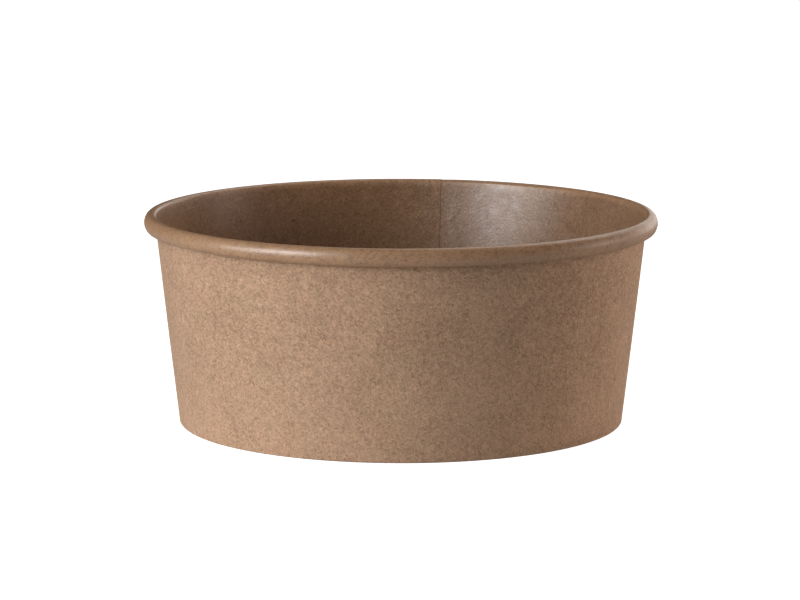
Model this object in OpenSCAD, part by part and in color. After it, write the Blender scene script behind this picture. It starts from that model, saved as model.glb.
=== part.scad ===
// Round takeaway bowl of kraft paperboard, about 750 ml.
// Two paper pieces: a side wall wrapped from one fan-shaped blank, and a round base.
// The origin is the middle of the foot, on the surface that the bowl stands on.

/* [Bowl] */
// Outside diameter across the rolled rim
top_d = 150; // [144:1:165]
// Outside diameter of the wall at the foot
base_d = 130; // [115:1:136]
// Height from the foot to the top of the rim
height = 61.5; // [45:0.5:90]

/* [Board] */
// Thickness of the paperboard
board_t = 0.45; // [0.3:0.05:0.55]
// Gap between two plies that are pressed together
ply_gap = 0.04; // [0.02:0.01:0.1]

/* [Rolled rim] */
// Outside radius of the bend at the rim's inner edge
lip_r = 1.1; // [0.9:0.05:1.4]
// Outside radius of the roll over its top
crown_r = 1.9; // [1.6:0.05:2.2]
// Outside radius of the roll's flatter outer side
side_r = 3.5; // [3:0.1:4]
// Outside radius of the bend that tucks the edge back under
tuck_r = 1.4; // [1.2:0.05:1.6]

/* [Side seam] */
// Width of the overlap where the blank's two ends are sealed
seam_w = 7; // [4:0.5:12]
// Width over which the outer end rises onto the inner one
ramp_w = 6; // [4:0.5:10]
// Length of the level stretch between the ramp and the inner end's cut edge
ramp_land = 0.5; // [0.3:0.1:1]
// Angle of the inner end's cut edge, from the +X axis
seam_angle = 80; // [0:1:359]

/* [Foot] */
// Height of the base's underside above the foot
base_recess = 7; // [5:0.5:12]
// Gap between the wall's folded-up edge and the base's underside
fold_gap = 1.5; // [1.2:0.1:2.5]
// Inside radius of the two bends at the foot
foot_bend_r = 0.1; // [0.05:0.01:0.15]
// Outside radius of the bend between the base and its skirt
skirt_bend_r = 1.1; // [0.8:0.05:1.4]
// Gap between the skirt's lower edge and the fold round it
skirt_gap = 0.25; // [0.15:0.05:1]

/* [Hidden] */
$fa = 3;
$fs = 0.3;

// Directions in which the rim's four bends meet, from straight outwards (0) over the top (90)
lip_to_crown = 110;
crown_to_side = 30;
side_to_tuck = -30;
tuck_end = -150;

// Middles of the rim's bends, each tangent to the next, with the roll's top and side on the sizes
crown_c = [top_d / 2 - side_r - (crown_r - side_r) * cos(crown_to_side), height - crown_r];
lip_c = crown_c + (crown_r - lip_r) * towards(lip_to_crown);
side_c = crown_c + (crown_r - side_r) * towards(crown_to_side);
tuck_c = side_c + (side_r - tuck_r) * towards(side_to_tuck);

// The wall's outer face runs from the foot's edge and is tangent to the inside of the lip's bend
lip_reach = lip_c - [base_d / 2, 0];
lip_inner_r = lip_r - board_t;
wall_angle = atan2(lip_reach.x, lip_reach.y) - asin(lip_inner_r / norm(lip_reach));
wall_len = sqrt(pow(norm(lip_reach), 2) - pow(lip_inner_r, 2));

// Depths behind the wall's outer face of the skirt and of the folded-up edge
skirt_depth = board_t + ply_gap;
fold_depth = skirt_depth + board_t + ply_gap;
foot_depth = fold_depth + board_t;

// Bends of the foot, whose board turns about its inside face
foot_r = foot_bend_r + board_t;
outer_foot_s = along_at(foot_r, foot_r);
outer_foot_c = on_wall(foot_r, outer_foot_s);
inner_foot_depth = foot_depth - foot_r;
inner_foot_c = on_wall(inner_foot_depth, along_at(foot_r, inner_foot_depth));
fold_top_s = along_at(base_recess - fold_gap, foot_depth);

// Bend of the base into its skirt
base_top = base_recess + board_t;
base_bend_depth = skirt_depth + skirt_bend_r;
base_bend_c = on_wall(base_bend_depth, along_at(base_top - skirt_bend_r, base_bend_depth));
skirt_low_s = along_at(board_t + skirt_gap, skirt_depth);

// Angles taken up by the seam's overlap, by its ramp, and by the level stretch at the ramp's top
seam_turn = angle_of(seam_w);
ramp_turn = angle_of(ramp_w);
land_turn = angle_of(ramp_land);
// Slope of the ramp, and how far a flat ramp sinks below the round wall at its middle
ramp_slope = atan2(board_t, ramp_w - ramp_land);
ramp_sag = on_wall(0, wall_len / 2).x * (1 - cos((ramp_turn - land_turn) / 2));
// How far the outer end runs into the wall that it is sealed to
seam_root = board_t / 3;
// How far a cutting shape runs past the face that it cuts
cut_margin = 1;
// Largest turn between two points on a bend, by which the rim's directions divide
bend_step = 10;

// Unit vector in the profile plane
function towards(angle) = [cos(angle), sin(angle)];

// Profile point at a depth behind the wall's outer face and a distance up along it
function on_wall(depth, s) =
    [base_d / 2, 0] + s * towards(90 - wall_angle) + depth * towards(180 - wall_angle);

// Distance along the wall at which a given depth has a given height
function along_at(z, depth) = (z - depth * sin(wall_angle)) / cos(wall_angle);

// Angle that a width takes up on the wall, half way up
function angle_of(width) = width / on_wall(0, wall_len / 2).x * 180 / PI;

// Points on a bend, after its first one
function bend(middle, r, from_angle, to_angle) =
    let (steps = ceil(abs(to_angle - from_angle) / bend_step))
    [for (k = [1 : steps]) middle + r * towards(from_angle + (to_angle - from_angle) * k / steps)];

// Line through the side wall's board, a given distance behind the face that touches the food
function side_line(behind) = concat(
    [tuck_c + (tuck_r - behind) * towards(tuck_end)],
    bend(tuck_c, tuck_r - behind, tuck_end, side_to_tuck),
    bend(side_c, side_r - behind, side_to_tuck, crown_to_side),
    bend(crown_c, crown_r - behind, crown_to_side, lip_to_crown),
    bend(lip_c, lip_r - behind, lip_to_crown, 180 - wall_angle),
    [on_wall(board_t - behind, outer_foot_s)],
    bend(outer_foot_c, foot_bend_r + behind, -wall_angle, -90),
    [inner_foot_c - [0, foot_bend_r + behind]],
    bend(inner_foot_c, foot_bend_r + behind, -90, -180 - wall_angle),
    [on_wall(fold_depth + behind, fold_top_s)]
);

// Line through the base's board, a given distance behind the face that touches the food
function base_line(behind) = concat(
    [[0, base_top - behind], [base_bend_c.x, base_top - behind]],
    bend(base_bend_c, skirt_bend_r - behind, 90, -wall_angle),
    [on_wall(skirt_depth + behind, skirt_low_s)]
);

// The same points in the opposite order
function reversed(points) = [for (k = [len(points) - 1 : -1 : 0]) points[k]];

// Straight stretch of the wall, from the foot's bend to the lip's bend
module straight(depth, thickness) {
    polygon([
        on_wall(depth, outer_foot_s),
        on_wall(depth, wall_len),
        on_wall(depth + thickness, wall_len),
        on_wall(depth + thickness, outer_foot_s)
    ]);
}

// A stretch of the wall, turned through an angle about the bowl's axis
module wall_patch(from_turn, turn, depth, thickness) {
    rotate([0, 0, seam_angle + from_turn])
        rotate_extrude(angle = turn)
            straight(depth, thickness);
}

// Block along the wall that ends at, or starts from, the ramp's sloping plane at a given depth
module ramp_block(depth, thickness) {
    middle = on_wall(depth + ramp_sag - board_t / 2, wall_len / 2);
    size = [abs(thickness), ramp_w * 2, wall_len + 2 * cut_margin];
    rotate([0, 0, seam_angle - (ramp_turn + land_turn) / 2])
        translate([middle.x, 0, middle.y])
            rotate([0, wall_angle, 0])
                rotate([0, 0, -ramp_slope])
                    translate([min(thickness, 0), -size.y / 2, -size.z / 2])
                        cube(size);
}

// The blank's outer end, which rises over a flat ramp and lies sealed on the inner end
module outer_end() {
    difference() {
        wall_patch(-ramp_turn, ramp_turn + seam_turn, -board_t, board_t + seam_root);
        ramp_block(0, cut_margin);
    }
}

// The hollow that the ramp leaves inside the bowl, up to the inner end's cut edge
module ramp_hollow() {
    intersection() {
        wall_patch(-ramp_turn, ramp_turn, 0, board_t + cut_margin);
        ramp_block(board_t, -2 * cut_margin);
    }
}

// Side wall: one blank, with its rim rolled out and its lower edge folded in and up
module side_wall() {
    color([0.71, 0.58, 0.48])
        difference() {
            union() {
                rotate_extrude()
                    polygon(concat(side_line(0), reversed(side_line(board_t))));
                outer_end();
            }
            ramp_hollow();
        }
}

// Base: one round blank, with its edge turned down as a skirt between the wall and its fold
module base_disc() {
    color([0.66, 0.53, 0.43])
        rotate_extrude()
            polygon(concat(base_line(0), reversed(base_line(board_t))));
}

side_wall();
base_disc();
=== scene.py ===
"""Kraft salad bowl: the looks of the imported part.

The side wall is one sheet of board that wraps round and lies over itself in the side seam.
The base is a second sheet with a turned-down skirt. Lengths in the constants are in millimetres.
"""

import math

import bpy
import numpy as np
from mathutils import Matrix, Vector


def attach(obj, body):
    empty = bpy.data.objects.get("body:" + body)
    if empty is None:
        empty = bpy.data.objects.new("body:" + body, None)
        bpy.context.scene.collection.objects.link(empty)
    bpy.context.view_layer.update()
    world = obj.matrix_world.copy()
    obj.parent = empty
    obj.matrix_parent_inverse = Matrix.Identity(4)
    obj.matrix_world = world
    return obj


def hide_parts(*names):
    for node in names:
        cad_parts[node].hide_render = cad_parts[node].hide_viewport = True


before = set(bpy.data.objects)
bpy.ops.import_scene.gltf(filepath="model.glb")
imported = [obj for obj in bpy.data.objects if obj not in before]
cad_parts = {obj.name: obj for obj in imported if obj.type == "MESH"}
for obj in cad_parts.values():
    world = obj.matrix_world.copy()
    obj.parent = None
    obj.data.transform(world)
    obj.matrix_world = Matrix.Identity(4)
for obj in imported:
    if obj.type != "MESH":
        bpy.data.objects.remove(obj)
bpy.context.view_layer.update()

MM = 0.001

# Sizes of the bowl, the same as in the part's source
TOP_D = 150.0
BASE_D = 130.0
HEIGHT = 61.5
BOARD_T = 0.45
PLY_GAP = 0.04
LIP_R = 1.1
CROWN_R = 1.9
SIDE_R = 3.5
TUCK_R = 1.4
SEAM_W = 7.0
SEAM_ANGLE = 80.0
BASE_RECESS = 7.0
FOLD_GAP = 1.5
FOOT_BEND_R = 0.1
SKIRT_BEND_R = 1.1
SKIRT_GAP = 0.25
LIP_TO_CROWN = 110.0
CROWN_TO_SIDE = 30.0
SIDE_TO_TUCK = -30.0
TUCK_END = -150.0

# The seam's plies are pressed: their gap, the ramp's width, and the thickness left at the inner cut edge
SEALED_GAP = 0.02
PRESSED_RAMP_W = 5.0
PRESSED_EDGE = 0.22
PRESSED_ROLL_EDGE = 0.12
# Columns of the mesh, in degrees: round the bowl, near the seam, on the base, and the gap between two runs
COLUMN_STEP = 1.0
SEAM_COLUMN_STEP = 0.3
BASE_COLUMN_STEP = 1.25
COLUMN_GAP = 0.2
# Degrees past the seam and before its ramp that have close columns too, and the columns over the overlap
SEAM_MARGIN = 2.0
RAMP_MARGIN = 1.0
OVERLAP_COLUMNS = 16
# Steps along each bend of the rim, and the rows at which the lip and the straight wall start
TUCK_STEPS = 14
SIDE_STEPS = 12
CROWN_STEPS = 14
LIP_STEPS = 9
LIP_ROW = 1 + TUCK_STEPS + SIDE_STEPS + CROWN_STEPS
WALL_ROW = LIP_ROW + LIP_STEPS
# Steps down the straight wall, along each bend of the foot, and up its fold
WALL_STEPS = 26
FOOT_BEND_STEPS = 5
FOLD_STEPS = 4
# Steps across the base, round its bend, and down its skirt
BASE_STEPS = 18
SKIRT_BEND_STEPS = 9
SKIRT_STEPS = 4
# Height below which the seam's plies are pressed thinner for the fold, and over how much height that comes on
FOOT_PRESS_TOP = 4.0
FOOT_PRESS_FADE = 3.0
# Degrees past the seam over which the plies thicken again, and how much later the foot's ply starts
PRESS_FADE_TURN = 2.0
PRESS_FADE_LATE = 0.5
# Shares by which the roll's height changes: from left to right, at both sides, and unevenly
ROLL_LEAN = 0.035
ROLL_SQUAT = 0.02
ROLL_UNEVEN = 0.006
# About how far the rim is drawn in, the wall is out of round, and the base sags or bulges
RIM_DRAWN_IN = 0.05
WALL_UNEVEN = 0.05
BASE_UNEVEN = 0.12
# Heights at which the rim's draw and the wall's unevenness start, and the heights over which they come on
RIM_DRAW_START = 40.0
RIM_DRAW_RISE = 16.0
WALL_UNEVEN_START = 9.0
WALL_UNEVEN_RISE = 10.0
# Width inside the base's edge over which its unevenness comes on
BASE_UNEVEN_RISE = 14.0
# Lengths of the unevenness, up the wall and across the base
WALL_WAVE = 42.0
BASE_WAVE = 90.0
# Seeds of the unevenness of the wall and of the base
WALL_SEED = 7
BASE_SEED = 11
# Shift of the base's map, clear of the wall's marks and of the tone over its roll
BASE_MAP_SHIFT = 200.0
# Edges that turn more than this many degrees are shaded sharp
SHARP_ANGLE = 40


def towards(angle):
    """Unit vector in the profile plane."""
    return np.array([math.cos(math.radians(angle)), math.sin(math.radians(angle))])


# Middles of the rim's bends
crown_c = np.array([
    TOP_D / 2 - SIDE_R - (CROWN_R - SIDE_R) * math.cos(math.radians(CROWN_TO_SIDE)),
    HEIGHT - CROWN_R,
])
lip_c = crown_c + (CROWN_R - LIP_R) * towards(LIP_TO_CROWN)
side_c = crown_c + (CROWN_R - SIDE_R) * towards(CROWN_TO_SIDE)
tuck_c = side_c + (SIDE_R - TUCK_R) * towards(SIDE_TO_TUCK)

# The wall's outer face runs from the foot's edge and is tangent to the inside of the lip's bend
foot_edge = np.array([BASE_D / 2, 0.0])
lip_reach = lip_c - foot_edge
reach = math.hypot(*lip_reach)
WALL_ANGLE = math.degrees(math.atan2(lip_reach[0], lip_reach[1]) - math.asin((LIP_R - BOARD_T) / reach))
WALL_LEN = math.sqrt(reach**2 - (LIP_R - BOARD_T) ** 2)
wall_up = towards(90 - WALL_ANGLE)
wall_in = towards(180 - WALL_ANGLE)


def on_wall(depth, s):
    """Profile point at a depth behind the wall's outer face and a distance up along it."""
    return foot_edge + s * wall_up + depth * wall_in


def along_at(z, depth):
    """Distance along the wall at which a given depth has a given height."""
    tilt = math.radians(WALL_ANGLE)
    return (z - depth * math.sin(tilt)) / math.cos(tilt)


skirt_depth = BOARD_T + PLY_GAP
fold_depth = skirt_depth + BOARD_T + PLY_GAP
foot_depth = fold_depth + BOARD_T
foot_r = FOOT_BEND_R + BOARD_T
outer_foot_s = along_at(foot_r, foot_r)
outer_foot_c = on_wall(foot_r, outer_foot_s)
inner_foot_c = on_wall(foot_depth - foot_r, along_at(foot_r, foot_depth - foot_r))
fold_top_s = along_at(BASE_RECESS - FOLD_GAP, foot_depth)
base_top = BASE_RECESS + BOARD_T
base_bend_depth = skirt_depth + SKIRT_BEND_R
base_bend_c = on_wall(base_bend_depth, along_at(base_top - SKIRT_BEND_R, base_bend_depth))
skirt_low_s = along_at(BOARD_T + SKIRT_GAP, skirt_depth)
mean_r = on_wall(0, WALL_LEN / 2)[0]


def turn_of(width):
    """Degrees that a width takes up on the wall, half way up."""
    return math.degrees(width / mean_r)


def bend_rows(middle, radius, start, end, steps, inside):
    """Rows along a bend, after its first one: a point on the food side, and the way to the kraft side."""
    rows = []
    for k in range(1, steps + 1):
        way = towards(start + (end - start) * k / steps)
        rows.append((middle + radius * way, -way if inside else way))
    return rows


def straight_rows(first, last, way, steps):
    """Rows along a straight stretch, after its first one."""
    return [(first + (last - first) * k / steps, way) for k in range(1, steps + 1)]


def wall_rows():
    """Rows down the side wall's board, from the rim's tucked edge to the top of the folded foot."""
    wall_high, wall_low = on_wall(BOARD_T, WALL_LEN), on_wall(BOARD_T, outer_foot_s)
    flat_end = inner_foot_c - np.array([0, FOOT_BEND_R])
    flat_start = outer_foot_c - np.array([0, FOOT_BEND_R])
    fold_low = on_wall(fold_depth, along_at(foot_r, foot_depth))
    fold_top = on_wall(fold_depth, fold_top_s)
    return (
        [(tuck_c + TUCK_R * towards(TUCK_END), -towards(TUCK_END))]
        + bend_rows(tuck_c, TUCK_R, TUCK_END, SIDE_TO_TUCK, TUCK_STEPS, True)
        + bend_rows(side_c, SIDE_R, SIDE_TO_TUCK, CROWN_TO_SIDE, SIDE_STEPS, True)
        + bend_rows(crown_c, CROWN_R, CROWN_TO_SIDE, LIP_TO_CROWN, CROWN_STEPS, True)
        + bend_rows(lip_c, LIP_R, LIP_TO_CROWN, 180 - WALL_ANGLE, LIP_STEPS, True)
        + straight_rows(wall_high, wall_low, -wall_in, WALL_STEPS)
        + bend_rows(outer_foot_c, FOOT_BEND_R, -WALL_ANGLE, -90, FOOT_BEND_STEPS, False)
        + straight_rows(flat_start, flat_end, towards(-90), 1)
        + bend_rows(inner_foot_c, FOOT_BEND_R, -90, -180 - WALL_ANGLE, FOOT_BEND_STEPS, False)
        + straight_rows(fold_low, fold_top, wall_in, FOLD_STEPS)
    )


def base_rows():
    """Rows of the base's board, from the middle out, round its bend and down its skirt."""
    middle = np.array([0, base_top])
    flat_end = np.array([base_bend_c[0], base_top])
    skirt_high = base_bend_c + SKIRT_BEND_R * towards(-WALL_ANGLE)
    skirt_low = on_wall(skirt_depth, skirt_low_s)
    return (
        straight_rows(middle, flat_end, towards(-90), BASE_STEPS)
        + bend_rows(base_bend_c, SKIRT_BEND_R, 90, -WALL_ANGLE, SKIRT_BEND_STEPS, True)
        + straight_rows(skirt_high, skirt_low, wall_in, SKIRT_STEPS)
    )


def split_rows(rows):
    """The rows' points on the food side, and their ways to the kraft side."""
    return np.array([point for point, way in rows]), np.array([way for point, way in rows])


def smooth(x):
    """Smooth step from 0 to 1."""
    x = np.clip(x, 0.0, 1.0)
    return x * x * (3 - 2 * x)


def ripple(rng, azimuth, z, orders, tall):
    """Slight unevenness, repeating round the bowl, between about -1 and 1."""
    total = np.zeros(np.broadcast(azimuth, z).shape)
    for n in orders:
        phases = rng.uniform(0, 2 * math.pi, 2)
        total += np.cos(n * azimuth + phases[0]) * np.cos(2 * math.pi * z / tall + phases[1])
    return total / math.sqrt(len(orders))


def arc_lengths(points):
    """Distance of each row along the board."""
    steps = np.hypot(*np.diff(points, axis=0).T)
    return np.concatenate([[0.0], np.cumsum(steps)])


def closed_sheet(name, food, kraft, blank, slots, hub=False):
    """Mesh of a sheet with its two faces and its cut edges, and a map of the flat blank in metres.

    The sheet's ends stay apart, or with a hub it is a round sheet whose first row closes on its middle.
    """
    columns, rows = food.shape[:2]
    count = columns * rows
    index = np.arange(count).reshape(columns, rows)
    here = np.arange(columns if hub else columns - 1)
    there = (here + 1) % columns
    a, b = index[here][:, :-1], index[there][:, :-1]
    c, d = index[there][:, 1:], index[here][:, 1:]
    faces = np.stack([a, b, c, d], -1).reshape(-1, 4).tolist()
    kinds = [0] * len(faces)
    faces += (np.stack([d, c, b, a], -1).reshape(-1, 4) + count).tolist()
    kinds += [1] * (len(faces) - len(kinds))

    def cut_edge(line):
        for first, last in zip(line[:-1], line[1:]):
            faces.append([last, first, first + count, last + count])
            kinds.append(2)

    low_edge = index[:, -1].tolist() + ([index[0, -1]] if hub else [])
    cut_edge(low_edge[::-1])
    points = np.concatenate([food.reshape(-1, 3), kraft.reshape(-1, 3)]) * MM
    flat = np.tile(blank.reshape(-1, 2), (2, 1)) * MM
    if hub:
        middles = [points[index[:, 0] + shift].mean(0) for shift in (0, count)]
        points = np.concatenate([points, middles])
        flat = np.concatenate([flat, [flat[index[:, 0] + shift].mean(0) for shift in (0, count)]])
        for k in here:
            first, last = index[k, 0], index[there[k], 0]
            faces += [[first, 2 * count, last], [last + count, 2 * count + 1, first + count]]
            kinds += [0, 1]
    else:
        cut_edge(index[:, 0].tolist())
        cut_edge(index[0, ::-1].tolist())
        cut_edge(index[-1].tolist())

    mesh = bpy.data.meshes.new(name)
    mesh.from_pydata(points.tolist(), [], faces)
    for slot in slots:
        mesh.materials.append(slot)
    mesh.polygons.foreach_set("material_index", kinds)
    mesh.polygons.foreach_set("use_smooth", [True] * len(faces))
    corners = np.empty(len(mesh.loops), np.int32)
    mesh.loops.foreach_get("vertex_index", corners)
    mesh.uv_layers.new(name="blank").data.foreach_set("uv", flat[corners].ravel())
    mesh.set_sharp_from_angle(angle=math.radians(SHARP_ANGLE))
    piece = bpy.data.objects.new(name, mesh)
    bpy.context.scene.collection.objects.link(piece)
    return piece


def spin(r, z, azimuth):
    """Points from a radius and a height at each azimuth, in radians from +X."""
    r, z, azimuth = np.broadcast_arrays(r, z, azimuth)
    return np.stack([r * np.cos(azimuth), r * np.sin(azimuth), z], -1)


def build_side_wall(slots):
    """Side wall: the blank goes once round from its inner end and then over itself."""
    seam_turn, ramp_turn = turn_of(SEAM_W), turn_of(PRESSED_RAMP_W)
    around = np.concatenate([
        np.arange(0, seam_turn + SEAM_MARGIN, 2 * SEAM_COLUMN_STEP),
        np.arange(seam_turn + SEAM_MARGIN + COLUMN_GAP, 360 - ramp_turn - RAMP_MARGIN, COLUMN_STEP),
        np.arange(360 - ramp_turn - RAMP_MARGIN + COLUMN_GAP, 360, SEAM_COLUMN_STEP),
        np.linspace(360, 360 + seam_turn, OVERLAP_COLUMNS),
    ])
    point, way = split_rows(wall_rows())
    length = arc_lengths(point)
    r0, z0 = point[None, :, 0], point[None, :, 1]
    in_roll = np.zeros(z0.shape)
    in_roll[0, :LIP_ROW] = 1
    in_roll[0, LIP_ROW:WALL_ROW] = np.linspace(1, 0, WALL_ROW - LIP_ROW)
    at_foot = smooth((FOOT_PRESS_TOP - z0) / FOOT_PRESS_FADE) * (1 - in_roll)

    def pressed(turn):
        """Thickness of the ply under the seam at a turn from its cut edge."""
        edge = PRESSED_EDGE + (PRESSED_ROLL_EDGE - PRESSED_EDGE) * in_roll
        ply = BOARD_T * (edge + (1 - edge) * smooth(turn / seam_turn)[:, None])
        thin = (BOARD_T - SEALED_GAP) / 2
        thicker = smooth((turn - seam_turn - PRESS_FADE_LATE) / PRESS_FADE_TURN)[:, None]
        foot_ply = thin + (BOARD_T - thin) * thicker
        past_seam = ply + BOARD_T * smooth((turn - seam_turn) / PRESS_FADE_TURN)[:, None]
        return ply + (np.minimum(foot_ply, past_seam) - ply) * at_foot

    over = around > 360 - ramp_turn
    rise = smooth((around - 360 + ramp_turn) / ramp_turn)[:, None]
    offset = rise * (pressed(np.maximum(around - 360, 0)) + SEALED_GAP)
    thick = np.where(over[:, None], BOARD_T - offset * at_foot, pressed(around))

    rng = np.random.default_rng(WALL_SEED)
    azimuth = np.radians(around + SEAM_ANGLE)[:, None]
    # Height of the roll, which is a little lower on the photograph's left and taller on its right
    side = np.cos(azimuth)
    roll_scale = 1 + ROLL_LEAN * side - ROLL_SQUAT * side**2
    roll_scale = roll_scale + ROLL_UNEVEN * ripple(rng, azimuth, 0.0, (5, 9, 14), 1.0)
    z_shift = -in_roll * (roll_scale - 1) * (HEIGHT - z0)
    rim_in = -RIM_DRAWN_IN * (1 + 0.5 * ripple(rng, azimuth, 0.0, (2, 3, 5), 1.0)).clip(0, 2)
    wall_share = smooth((z0 - WALL_UNEVEN_START) / WALL_UNEVEN_RISE) * (1 - in_roll)
    out_of_round = WALL_UNEVEN * wall_share * ripple(rng, azimuth, z0, (4, 7, 11, 15), WALL_WAVE)
    r_shift = rim_in * smooth((z0 - RIM_DRAW_START) / RIM_DRAW_RISE) + out_of_round

    def face(behind):
        return spin(r0 + behind * way[None, :, 0] + r_shift, z0 + behind * way[None, :, 1] + z_shift, azimuth)

    blank = np.stack(np.broadcast_arrays(np.radians(around)[:, None] * mean_r, length[None, :]), -1)
    return closed_sheet("side_wall_sheet", face(offset), face(offset + thick), blank, slots)


def build_base(slots):
    """Base: a round blank with its edge turned down."""
    point, way = split_rows(base_rows())
    length = arc_lengths(point) + point[0, 0]
    rng = np.random.default_rng(BASE_SEED)
    azimuth = np.radians(np.arange(0, 360, BASE_COLUMN_STEP))[:, None]
    r0, z0 = point[None, :, 0], point[None, :, 1]
    free = smooth((base_bend_c[0] - r0) / BASE_UNEVEN_RISE)
    sag = free * BASE_UNEVEN * ripple(rng, azimuth, r0, (1, 2, 3), BASE_WAVE)

    def face(behind):
        return spin(r0 + behind * way[None, :, 0], z0 + behind * way[None, :, 1] + sag, azimuth)

    across, along = length[None, :] * np.cos(azimuth), length[None, :] * np.sin(azimuth)
    flat = np.stack([across, along + BASE_MAP_SHIFT], -1)
    return closed_sheet("base_disc_sheet", face(0.0), face(BOARD_T), flat, slots, hub=True)


class Graph:
    """Short names for making shader nodes."""

    def __init__(self, tree):
        self.tree = tree

    def node(self, kind, inputs=(), **settings):
        """A new node with its settings and with its inputs by name or number."""
        made = self.tree.nodes.new(kind)
        for name, value in settings.items():
            setattr(made, name, value)
        for name, value in dict(inputs).items():
            self.put(made.inputs[name], value)
        return made

    def put(self, socket, value):
        """Gives an input a value, or links it to an output."""
        if isinstance(value, bpy.types.NodeSocket):
            self.tree.links.new(value, socket)
        else:
            socket.default_value = value

    def math(self, operation, a, b=0.0, c=0.0, clamp=False):
        inputs = {0: a, 1: b, 2: c}
        return self.node("ShaderNodeMath", inputs, operation=operation, use_clamp=clamp).outputs[0]

    def between(self, value, low, high, to_low=0.0, to_high=1.0):
        """Smooth step as a value goes from low to high."""
        inputs = {"Value": value, "From Min": low, "From Max": high, "To Min": to_low, "To Max": to_high}
        return self.node("ShaderNodeMapRange", inputs, interpolation_type="SMOOTHSTEP").outputs[0]

    def noise(self, where, size, detail=2.0, rough=0.5, bent=0.0):
        inputs = {"Vector": where, "Scale": 1 / size, "Detail": detail, "Roughness": rough}
        inputs["Distortion"] = bent
        return self.node("ShaderNodeTexNoise", inputs, noise_dimensions="2D").outputs["Fac"]

    def mix(self, share, first, second, blend="MIX"):
        """Mixture of two colours."""
        inputs = {0: share, 6: first, 7: second}
        return self.node("ShaderNodeMix", inputs, data_type="RGBA", blend_type=blend).outputs[2]

    def moved(self, where, x, y):
        return self.node("ShaderNodeVectorMath", {0: where, 1: (x, y, 0)}, operation="ADD").outputs[0]

    def ridges(self, where, size, bent, steep=8.0):
        """Fine curly ridges: 1 along the level lines of a noise, falling to 0 between them."""
        off_level = self.math("ABSOLUTE", self.math("SUBTRACT", self.noise(where, size, 1.0, 0.5, bent), 0.5))
        return self.math("SUBTRACT", 1.0, self.math("MULTIPLY", off_level, steep), clamp=True)

    def stroke(self, where, start, end, width):
        """A short line: 1 along its middle, falling to 0 at a distance of its width."""
        start, end = Vector((*start, 0)), Vector((*end, 0))
        run = (end - start).normalized()
        away = self.node("ShaderNodeVectorMath", {0: where, 1: start}, operation="SUBTRACT").outputs[0]
        along = self.node("ShaderNodeVectorMath", {0: away, 1: run}, operation="DOT_PRODUCT").outputs["Value"]
        along = self.math("MINIMUM", self.math("MAXIMUM", along, 0.0), (end - start).length)
        foot = self.node("ShaderNodeVectorMath", {0: run, "Scale": along}, operation="SCALE").outputs[0]
        gap = self.node("ShaderNodeVectorMath", {0: away, 1: foot}, operation="DISTANCE").outputs["Value"]
        return self.between(gap, 0.25 * width, width, 1.0, 0.0)

    def fibres(self, where, size, width, share, bent):
        """Curly fibres: thin level lines of a noise, cut into short lengths by a second one."""
        line = self.math("ABSOLUTE", self.math("SUBTRACT", self.noise(where, size, 1.0, 0.4, bent), 0.5))
        line = self.between(line, 0.0, width / size, 1.0, 0.0)
        cut = self.noise(self.moved(where, 37.0, 11.0), size * 1.1, 1.0)
        return self.math("MULTIPLY", line, self.between(cut, 1 - share, 1 - share + 0.06))

    def strands(self, where, length, width):
        """Short strands of pulp, matted in three directions."""
        top = 0.0
        for k, turn in enumerate((28, -24, 75)):
            turned = self.node("ShaderNodeMapping", {
                "Vector": self.moved(where, 31.0 * k, 0.0),
                "Rotation": (0, 0, math.radians(turn)),
                "Scale": (length / width, 1, 1),
            }, vector_type="TEXTURE").outputs[0]
            top = self.math("MAXIMUM", self.noise(turned, width, 1.0, 0.4, 0.5), top)
        return top

    def sum(self, terms, start):
        """Sum of each value less its mean, times its weight."""
        total = start - sum(mean * weight for value, mean, weight in terms)
        for value, mean, weight in terms:
            total = self.math("MULTIPLY_ADD", value, weight, total)
        return total


# Tints of the board's pinkish and olive patches
PINKISH = (1.012, 0.995, 1.000)
OLIVE = (0.988, 1.002, 0.990)

# Single fibres, specks, scuffs and painted highlights in the photograph: two ends as azimuth from +X and
# height, width, and tone
OUTSIDE_MARKS = [
    ((221.2, 36.5), (220.6, 35.2), 0.26, -0.42),
    ((220.7, 35.2), (221.1, 34.5), 0.26, -0.45),
    ((220.8, 34.4), (220.3, 32.6), 0.26, -0.30),
    ((221.5, 43.3), (221.4, 43.0), 0.42, -0.42),
    ((226.4, 40.5), (226.5, 40.2), 0.38, -0.35),
    ((283.8, 53.0), (284.9, 53.6), 0.24, 0.22),
    ((284.9, 53.6), (286.2, 53.1), 0.24, 0.22),
    ((284.0, 52.5), (286.0, 52.6), 0.24, -0.20),
    ((285.3, 50.8), (285.4, 50.5), 0.34, -0.30),
    ((314.6, 53.9), (314.0, 49.3), 0.30, -0.16),
    ((314.0, 51.8), (314.1, 51.4), 0.42, -0.40),
]
INSIDE_MARKS_AND_HIGHLIGHTS = [
    ((134.1, 51.4), (134.3, 51.1), 0.40, -0.5),
    ((118.6, 50.0), (118.0, 49.7), 0.42, -0.5),
    ((51.8, 44.8), (51.7, 44.6), 0.36, -0.55),
    # A real scratch, painted pale where it glints: a painted highlight.
    ((86.0, 49.8), (85.2, 51.6), 0.22, 0.40),
    # Painted highlight: a pale streak beside the seam near the rim, where the film's curve catches the light.
    ((81.9, 60.3), (81.0, 57.4), 0.75, 0.20),
]

# Length of the blank that is in the roll and the lip
ROLL_LENGTH = arc_lengths(split_rows(wall_rows())[0])[WALL_ROW - 1]
# Length of the blank from the roll's edge to the foot
BLANK_LENGTH = ROLL_LENGTH + WALL_LEN
# Extra unevenness of the tone where the film is stretched over the roll
ROLL_VARY = 0.2
# Length of the blank over which the tone rises towards the foot, a painted light for the light thrown up by
# the floor
FOOT_PAINTED_BOUNCE_LENGTH = 42.0
# Colour of the studio's floor and backdrop
FLOOR_GREY = (0.6, 0.6, 0.6, 1)


def blank_place(azimuth, height, depth):
    """Place on the flat blank of a point on the side wall."""
    around = (azimuth - SEAM_ANGLE) % 360
    return math.radians(around) * mean_r, BLANK_LENGTH - along_at(height, depth)


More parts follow.
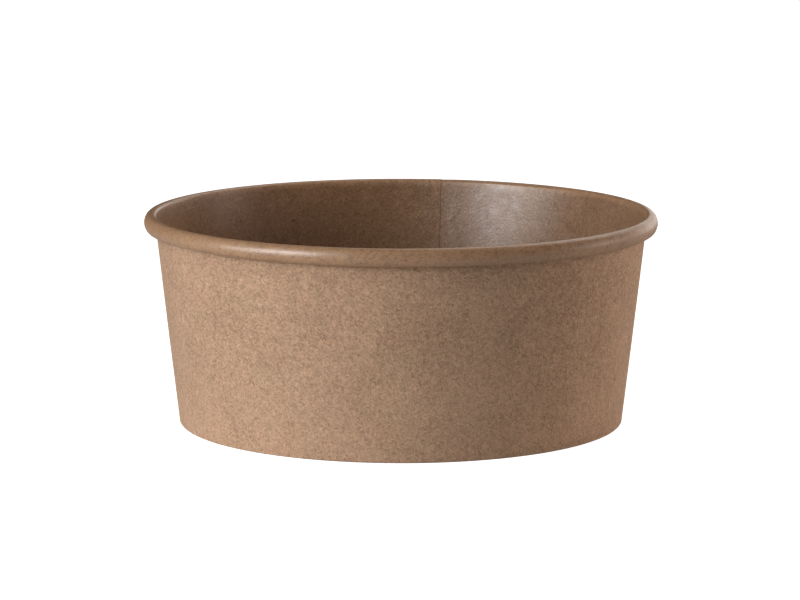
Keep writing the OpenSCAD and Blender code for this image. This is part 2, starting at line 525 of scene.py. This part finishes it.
def board_material(
    name, pale, dark, gloss, relief, seed, vary, marks=(), depth=0.0, painted_light_on_roll=0.0, painted_bounce_to_foot=0.0, middle=0.52
):
    """Unbleached board: cloudy pulp, light and dark fibres and specks, matt or under a glossy film.

    The tone runs from dark to pale about its middle, and vary scales its unevenness. Over the rolled rim the
    tone is raised by painted_light_on_roll, which is painted light and shade: the film inside the bowl is
    kept darker than on the roll, as if in shade. Towards the foot it rises by painted_bounce_to_foot, which
    is painted light for the light thrown up by the floor.
    The marks lie at a depth behind the wall's outer face. The seed moves the pattern on the blank.
    """
    mat = bpy.data.materials.new(name)
    mat.use_nodes = True
    tree = mat.node_tree
    tree.nodes.clear()
    g = Graph(tree)
    blank = g.node("ShaderNodeUVMap", uv_map="blank").outputs[0]
    where = g.node("ShaderNodeMapping", {
        "Vector": blank,
        "Scale": (1 / MM, 1 / MM, 1 / MM),
        "Location": (seed, seed, 0),
    }).outputs[0]

    # Patterns of the board, each moved to its own place, with their sizes in millimetres
    clouds = g.noise(where, 15.0, 3.0, 0.55, 0.3)
    pulp = g.noise(g.moved(where, 90, 3), 3.4, 3.0, 0.6, 0.3)
    curl = g.ridges(g.moved(where, 17, 29), 1.25, 1.2)
    curl_dark = g.ridges(g.moved(where, 71, 83), 1.05, 1.0)
    grain = g.noise(g.moved(where, 5, 70), 0.6, 1.0, 0.5)
    matted = g.strands(g.moved(where, 13, 47), 1.9, 0.55)
    sunk = g.strands(g.moved(where, 83, 19), 1.7, 0.50)
    dark_fibre = g.fibres(g.moved(where, 3, 9), 2.6, 0.16, 0.40, 0.8)
    pale_fibre = g.fibres(g.moved(where, 61, 51), 2.1, 0.17, 0.42, 0.9)
    cell = g.node("ShaderNodeTexVoronoi", {"Vector": where, "Scale": 1 / 4.5}, voronoi_dimensions="2D")
    spot = g.between(cell.outputs["Distance"], 0.03, 0.06, 1.0, 0.0)
    lot = g.node("ShaderNodeSeparateColor", {"Color": cell.outputs["Color"]}).outputs[0]
    chosen = g.between(lot, 0.7, 0.74)
    speck = g.math("MULTIPLY", spot, chosen)

    down = g.node("ShaderNodeSeparateXYZ", {"Vector": where}).outputs["Y"]
    roll = g.between(down, ROLL_LENGTH - 1.0 + seed, ROLL_LENGTH + 1.5 + seed, 1.0, 0.0)
    uneven = g.sum([
        (clouds, 0.5, 0.36), (pulp, 0.5, 0.22), (curl, 0.4, 0.20), (curl_dark, 0.4, -0.20),
        (matted, 0.6, 1.05), (sunk, 0.6, -1.05), (grain, 0.5, 0.5),
        (dark_fibre, 0.1, -0.22), (pale_fibre, 0.1, 0.22),
    ], 0.0)
    uneven = g.math("MULTIPLY", uneven, g.math("MULTIPLY_ADD", roll, ROLL_VARY, vary))
    # Painted light: the tone rises towards the foot, standing in for light thrown up by the floor.
    foot = g.between(down, BLANK_LENGTH - FOOT_PAINTED_BOUNCE_LENGTH + seed, BLANK_LENGTH + seed)
    # Painted light and shade: the tone raised over the roll leaves the film inside the bowl darker, as shade.
    terms = [(uneven, 0.0, 1.0), (speck, 0.0, -0.5), (roll, 0.0, painted_light_on_roll), (foot, 0.4, painted_bounce_to_foot)]
    for start, stop, width, shade in marks:
        ends = [[place + seed for place in blank_place(*end, depth)] for end in (start, stop)]
        terms.append((g.stroke(where, *ends, width), 0.0, shade))
    tone = g.sum(terms, middle)
    colour = g.mix(tone, (*dark, 1), (*pale, 1))
    patch = g.between(g.noise(g.moved(where, 44, 21), 6.5, 3.0, 0.65, 0.4), 0.35, 0.65)
    tint = g.mix(patch, (*PINKISH, 1), (*OLIVE, 1))
    tinted = g.mix(1.0, colour, tint, "MULTIPLY")

    height = g.sum([
        (pulp, 0.5, relief["pulp"]), (matted, 0.6, relief["strands"]), (sunk, 0.6, -relief["strands"]),
        (grain, 0.5, relief["grain"]), (clouds, 0.5, relief["wave"]),
    ], 0.0)
    bump = g.node("ShaderNodeBump", {"Height": height, "Distance": MM})

    rough = g.between(pulp, 0.25, 0.75, gloss["rough"] - gloss["spread"], gloss["rough"] + gloss["spread"])
    skin = g.node("ShaderNodeBsdfPrincipled", {
        "Base Color": tinted,
        "Roughness": rough,
        "Normal": bump.outputs[0],
        "IOR": 1.5,
        "Specular IOR Level": gloss["specular"],
        "Sheen Weight": gloss["sheen"],
        "Sheen Roughness": 0.5,
    })
    out = g.node("ShaderNodeOutputMaterial")
    tree.links.new(skin.outputs[0], out.inputs[0])
    return mat


# Relief in millimetres, from the soft lumps of pulp down to the grain
# Painted light: the outside's tone rises towards the foot, for light thrown up by the floor.
kraft_outside = board_material(
    "kraft_matt", (0.76, 0.510, 0.345), (0.36, 0.220, 0.136),
    {"rough": 0.8, "spread": 0.08, "specular": 0.35, "sheen": 0.1},
    {"pulp": 0.03, "strands": 0.14, "grain": 0.014, "wave": 0.06},
    seed=0.0, vary=1.0, marks=OUTSIDE_MARKS, painted_bounce_to_foot=0.16,
)
# Painted light and shade: the inside film is darker than on its roll, as if in shade.
kraft_inside = board_material(
    "kraft_coated", (0.50, 0.300, 0.175), (0.10, 0.048, 0.022),
    {"rough": 0.35, "spread": 0.06, "specular": 1.0, "sheen": 0.0},
    {"pulp": 0.03, "strands": 0.034, "grain": 0.012, "wave": 0.06},
    seed=250.0, vary=0.6, marks=INSIDE_MARKS_AND_HIGHLIGHTS, depth=BOARD_T, painted_light_on_roll=0.42, middle=0.47,
)
raw_edge = board_material(
    "board_cut_edge", (0.70, 0.50, 0.35), (0.38, 0.24, 0.15),
    {"rough": 0.9, "spread": 0.05, "specular": 0.2, "sheen": 0.1},
    {"pulp": 0.03, "strands": 0.0, "grain": 0.02, "wave": 0.0},
    seed=520.0, vary=0.8,
)

slots = [kraft_inside, kraft_outside, raw_edge]
side_wall = build_side_wall(slots)
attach(side_wall, "root")
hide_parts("side_wall")

base = build_base(slots)
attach(base, "root")
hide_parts("base_disc")


def build_sweep():
    """Floor and backdrop in one curved sheet, in metres. Its glow is for the camera only."""
    half, near, far, bend, top, bend_steps = 4.0, -3.0, 3.0, 1.2, 3.0, 12
    line = [(near, 0.0), (far, 0.0)]
    for a in np.linspace(0, math.pi / 2, bend_steps + 1)[1:]:
        line.append((far + bend * math.sin(a), bend - bend * math.cos(a)))
    line.append((far + bend, top))
    mesh = bpy.data.meshes.new("studio_sweep")
    verts = [(x, y, z) for y, z in line for x in (-half, half)]
    mesh.from_pydata(verts, [], [(2 * k, 2 * k + 1, 2 * k + 3, 2 * k + 2) for k in range(len(line) - 1)])
    sweep = bpy.data.objects.new("studio_sweep", mesh)
    bpy.context.scene.collection.objects.link(sweep)
    mat = bpy.data.materials.new("sweep_white")
    mat.use_nodes = True
    mat.node_tree.nodes.clear()
    g = Graph(mat.node_tree)
    path = g.node("ShaderNodeLightPath")
    paper = g.node("ShaderNodeBsdfDiffuse", {"Color": FLOOR_GREY})
    glow = g.node("ShaderNodeEmission", {"Color": (1, 1, 1, 1), "Strength": path.outputs["Is Camera Ray"]})
    both = g.node("ShaderNodeAddShader")
    g.put(both.inputs[0], paper.outputs[0])
    g.put(both.inputs[1], glow.outputs[0])
    out = g.node("ShaderNodeOutputMaterial")
    g.put(out.inputs[0], both.outputs[0])
    mesh.materials.append(mat)
    return sweep


build_sweep()


# Distance of every softbox, and the height it is aimed at, in metres
SOFTBOX_FAR = 1.0
SOFTBOX_AIM = 0.04


def softbox(name, azimuth, elevation, width, height, strength, colour, mirrored=True):
    """Area lamp, placed by azimuth from the camera's side (right is positive) and aimed at the bowl.

    The light on the bowl doesn't depend on the lamp's size. An unmirrored lamp has no glossy reflection.
    """
    lamp = bpy.data.lights.new(name, "AREA")
    lamp.shape = "RECTANGLE"
    lamp.size, lamp.size_y = width, height
    lamp.energy = strength * math.pi**2 * SOFTBOX_FAR**2
    lamp.color = colour
    ob = bpy.data.objects.new(name, lamp)
    a, e = math.radians(azimuth), math.radians(elevation)
    aim = Vector((0, 0, SOFTBOX_AIM))
    way = Vector((math.sin(a) * math.cos(e), -math.cos(a) * math.cos(e), math.sin(e)))
    ob.location = aim + SOFTBOX_FAR * way
    ob.rotation_euler = (aim - ob.location).to_track_quat("-Z", "Y").to_euler()
    ob.visible_camera = False
    ob.visible_glossy = mirrored
    bpy.context.scene.collection.objects.link(ob)


softbox("key_softbox", -50, 17, 0.40, 0.40, 0.42, (1.0, 0.99, 1.0))
softbox("side_softbox", -67, 8, 0.50, 0.30, 0.21, (1.0, 0.98, 0.96))
softbox("high_softbox", -50, 45, 0.40, 0.40, 0.20, (1.0, 0.94, 0.86), mirrored=False)
softbox("right_softbox", 99, 16, 0.50, 0.50, 0.38, (1.0, 0.86, 0.78), mirrored=False)
softbox("right_low_softbox", 96, 5, 0.50, 0.30, 0.055, (1.0, 0.95, 0.90))
softbox("back_softbox", 150, 8, 0.90, 0.40, 0.17, (1.0, 0.96, 0.90))
softbox("back_high_softbox", 150, 45, 0.80, 0.60, 0.20, (1.0, 0.97, 0.92))

# World: a weak fill that the camera sees as white
world = bpy.data.worlds.new("studio")
bpy.context.scene.world = world
world.use_nodes = True
world.node_tree.nodes.clear()
g = Graph(world.node_tree)
path = g.node("ShaderNodeLightPath")
fill = g.node("ShaderNodeBackground", {"Color": (1.0, 0.94, 0.88, 1), "Strength": 0.01})
white = g.node("ShaderNodeBackground", {"Color": (1, 1, 1, 1), "Strength": 1.0})
pick = g.node("ShaderNodeMixShader", {0: path.outputs["Is Camera Ray"]})
g.put(pick.inputs[1], fill.outputs[0])
g.put(pick.inputs[2], white.outputs[0])
out = g.node("ShaderNodeOutputWorld")
g.put(out.inputs[0], pick.outputs[0])

# Camera at the photograph's viewing angle, fitted to the bowl's outline (millimetres, degrees and pixels)
CAMERA_FAR = 1058.0
CAMERA_UP = 9.70
FOCAL_PX = 3603.0
IMAGE_WIDTH_PX = 800
SIGHT_Z = 30.0
AIM_X = -0.26
AIM_Z = 5.20
CAMERA_ROLL = 0.05

camera_data = bpy.data.cameras.new("photo_camera")
camera_data.sensor_width = 36.0
camera_data.lens = FOCAL_PX * camera_data.sensor_width / IMAGE_WIDTH_PX
camera_data.clip_start, camera_data.clip_end = 0.05, 20.0
camera = bpy.data.objects.new("photo_camera", camera_data)
up = math.radians(CAMERA_UP)
camera.location = Vector((0, -CAMERA_FAR * math.cos(up), SIGHT_Z + CAMERA_FAR * math.sin(up))) * MM
target = Vector((AIM_X, 0, SIGHT_Z + AIM_Z)) * MM
turned = (target - camera.location).to_track_quat("-Z", "Y").to_matrix().to_4x4()
camera.rotation_euler = (turned @ turned.Rotation(math.radians(CAMERA_ROLL), 4, "Z")).to_euler()
bpy.context.scene.collection.objects.link(camera)
bpy.context.scene.camera = camera

bpy.context.scene.view_settings.view_transform = "Standard"
